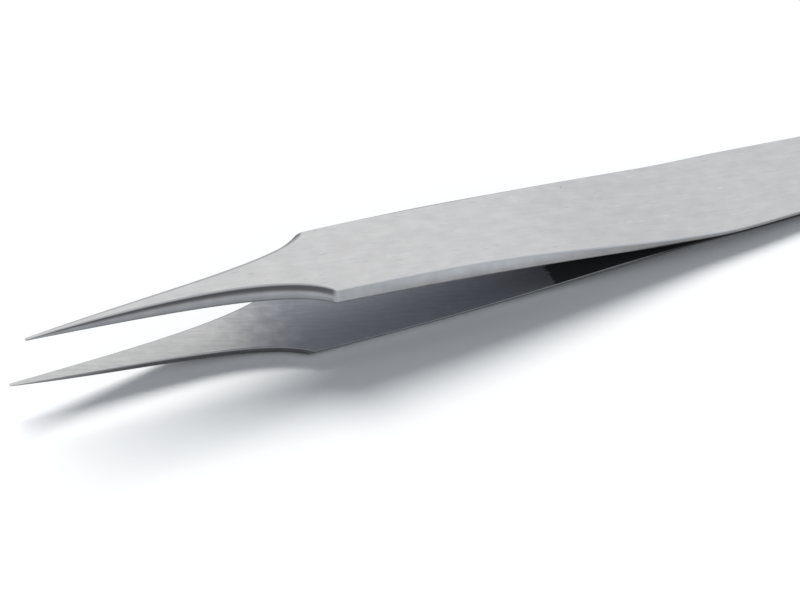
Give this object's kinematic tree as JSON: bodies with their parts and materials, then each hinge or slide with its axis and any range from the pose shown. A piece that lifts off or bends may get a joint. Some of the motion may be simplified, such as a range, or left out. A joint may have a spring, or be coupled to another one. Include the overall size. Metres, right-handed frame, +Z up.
{
  "type": "micro tweezers",
  "caption": "Micro tweezers with fine straight tips, relieved blades, bevelled flat spring arms and a flat welded head.",
  "frame": {"origin": "on the bench under the middle of the tweezers as they lie on the lower arm's belly and the head's end", "axes": "+X along the tool from the tips to the head, +Z up, +Y across the arms"},
  "size_m": [0.08, 0.0078, 0.0087],
  "materials": {
    "ground_steel": "satin, brushed along the arms"
  },
  "bodies": {
    "root": {"upper_arm": "ground_steel", "lower_arm": "ground_steel"}
  },
  "joints": []
}
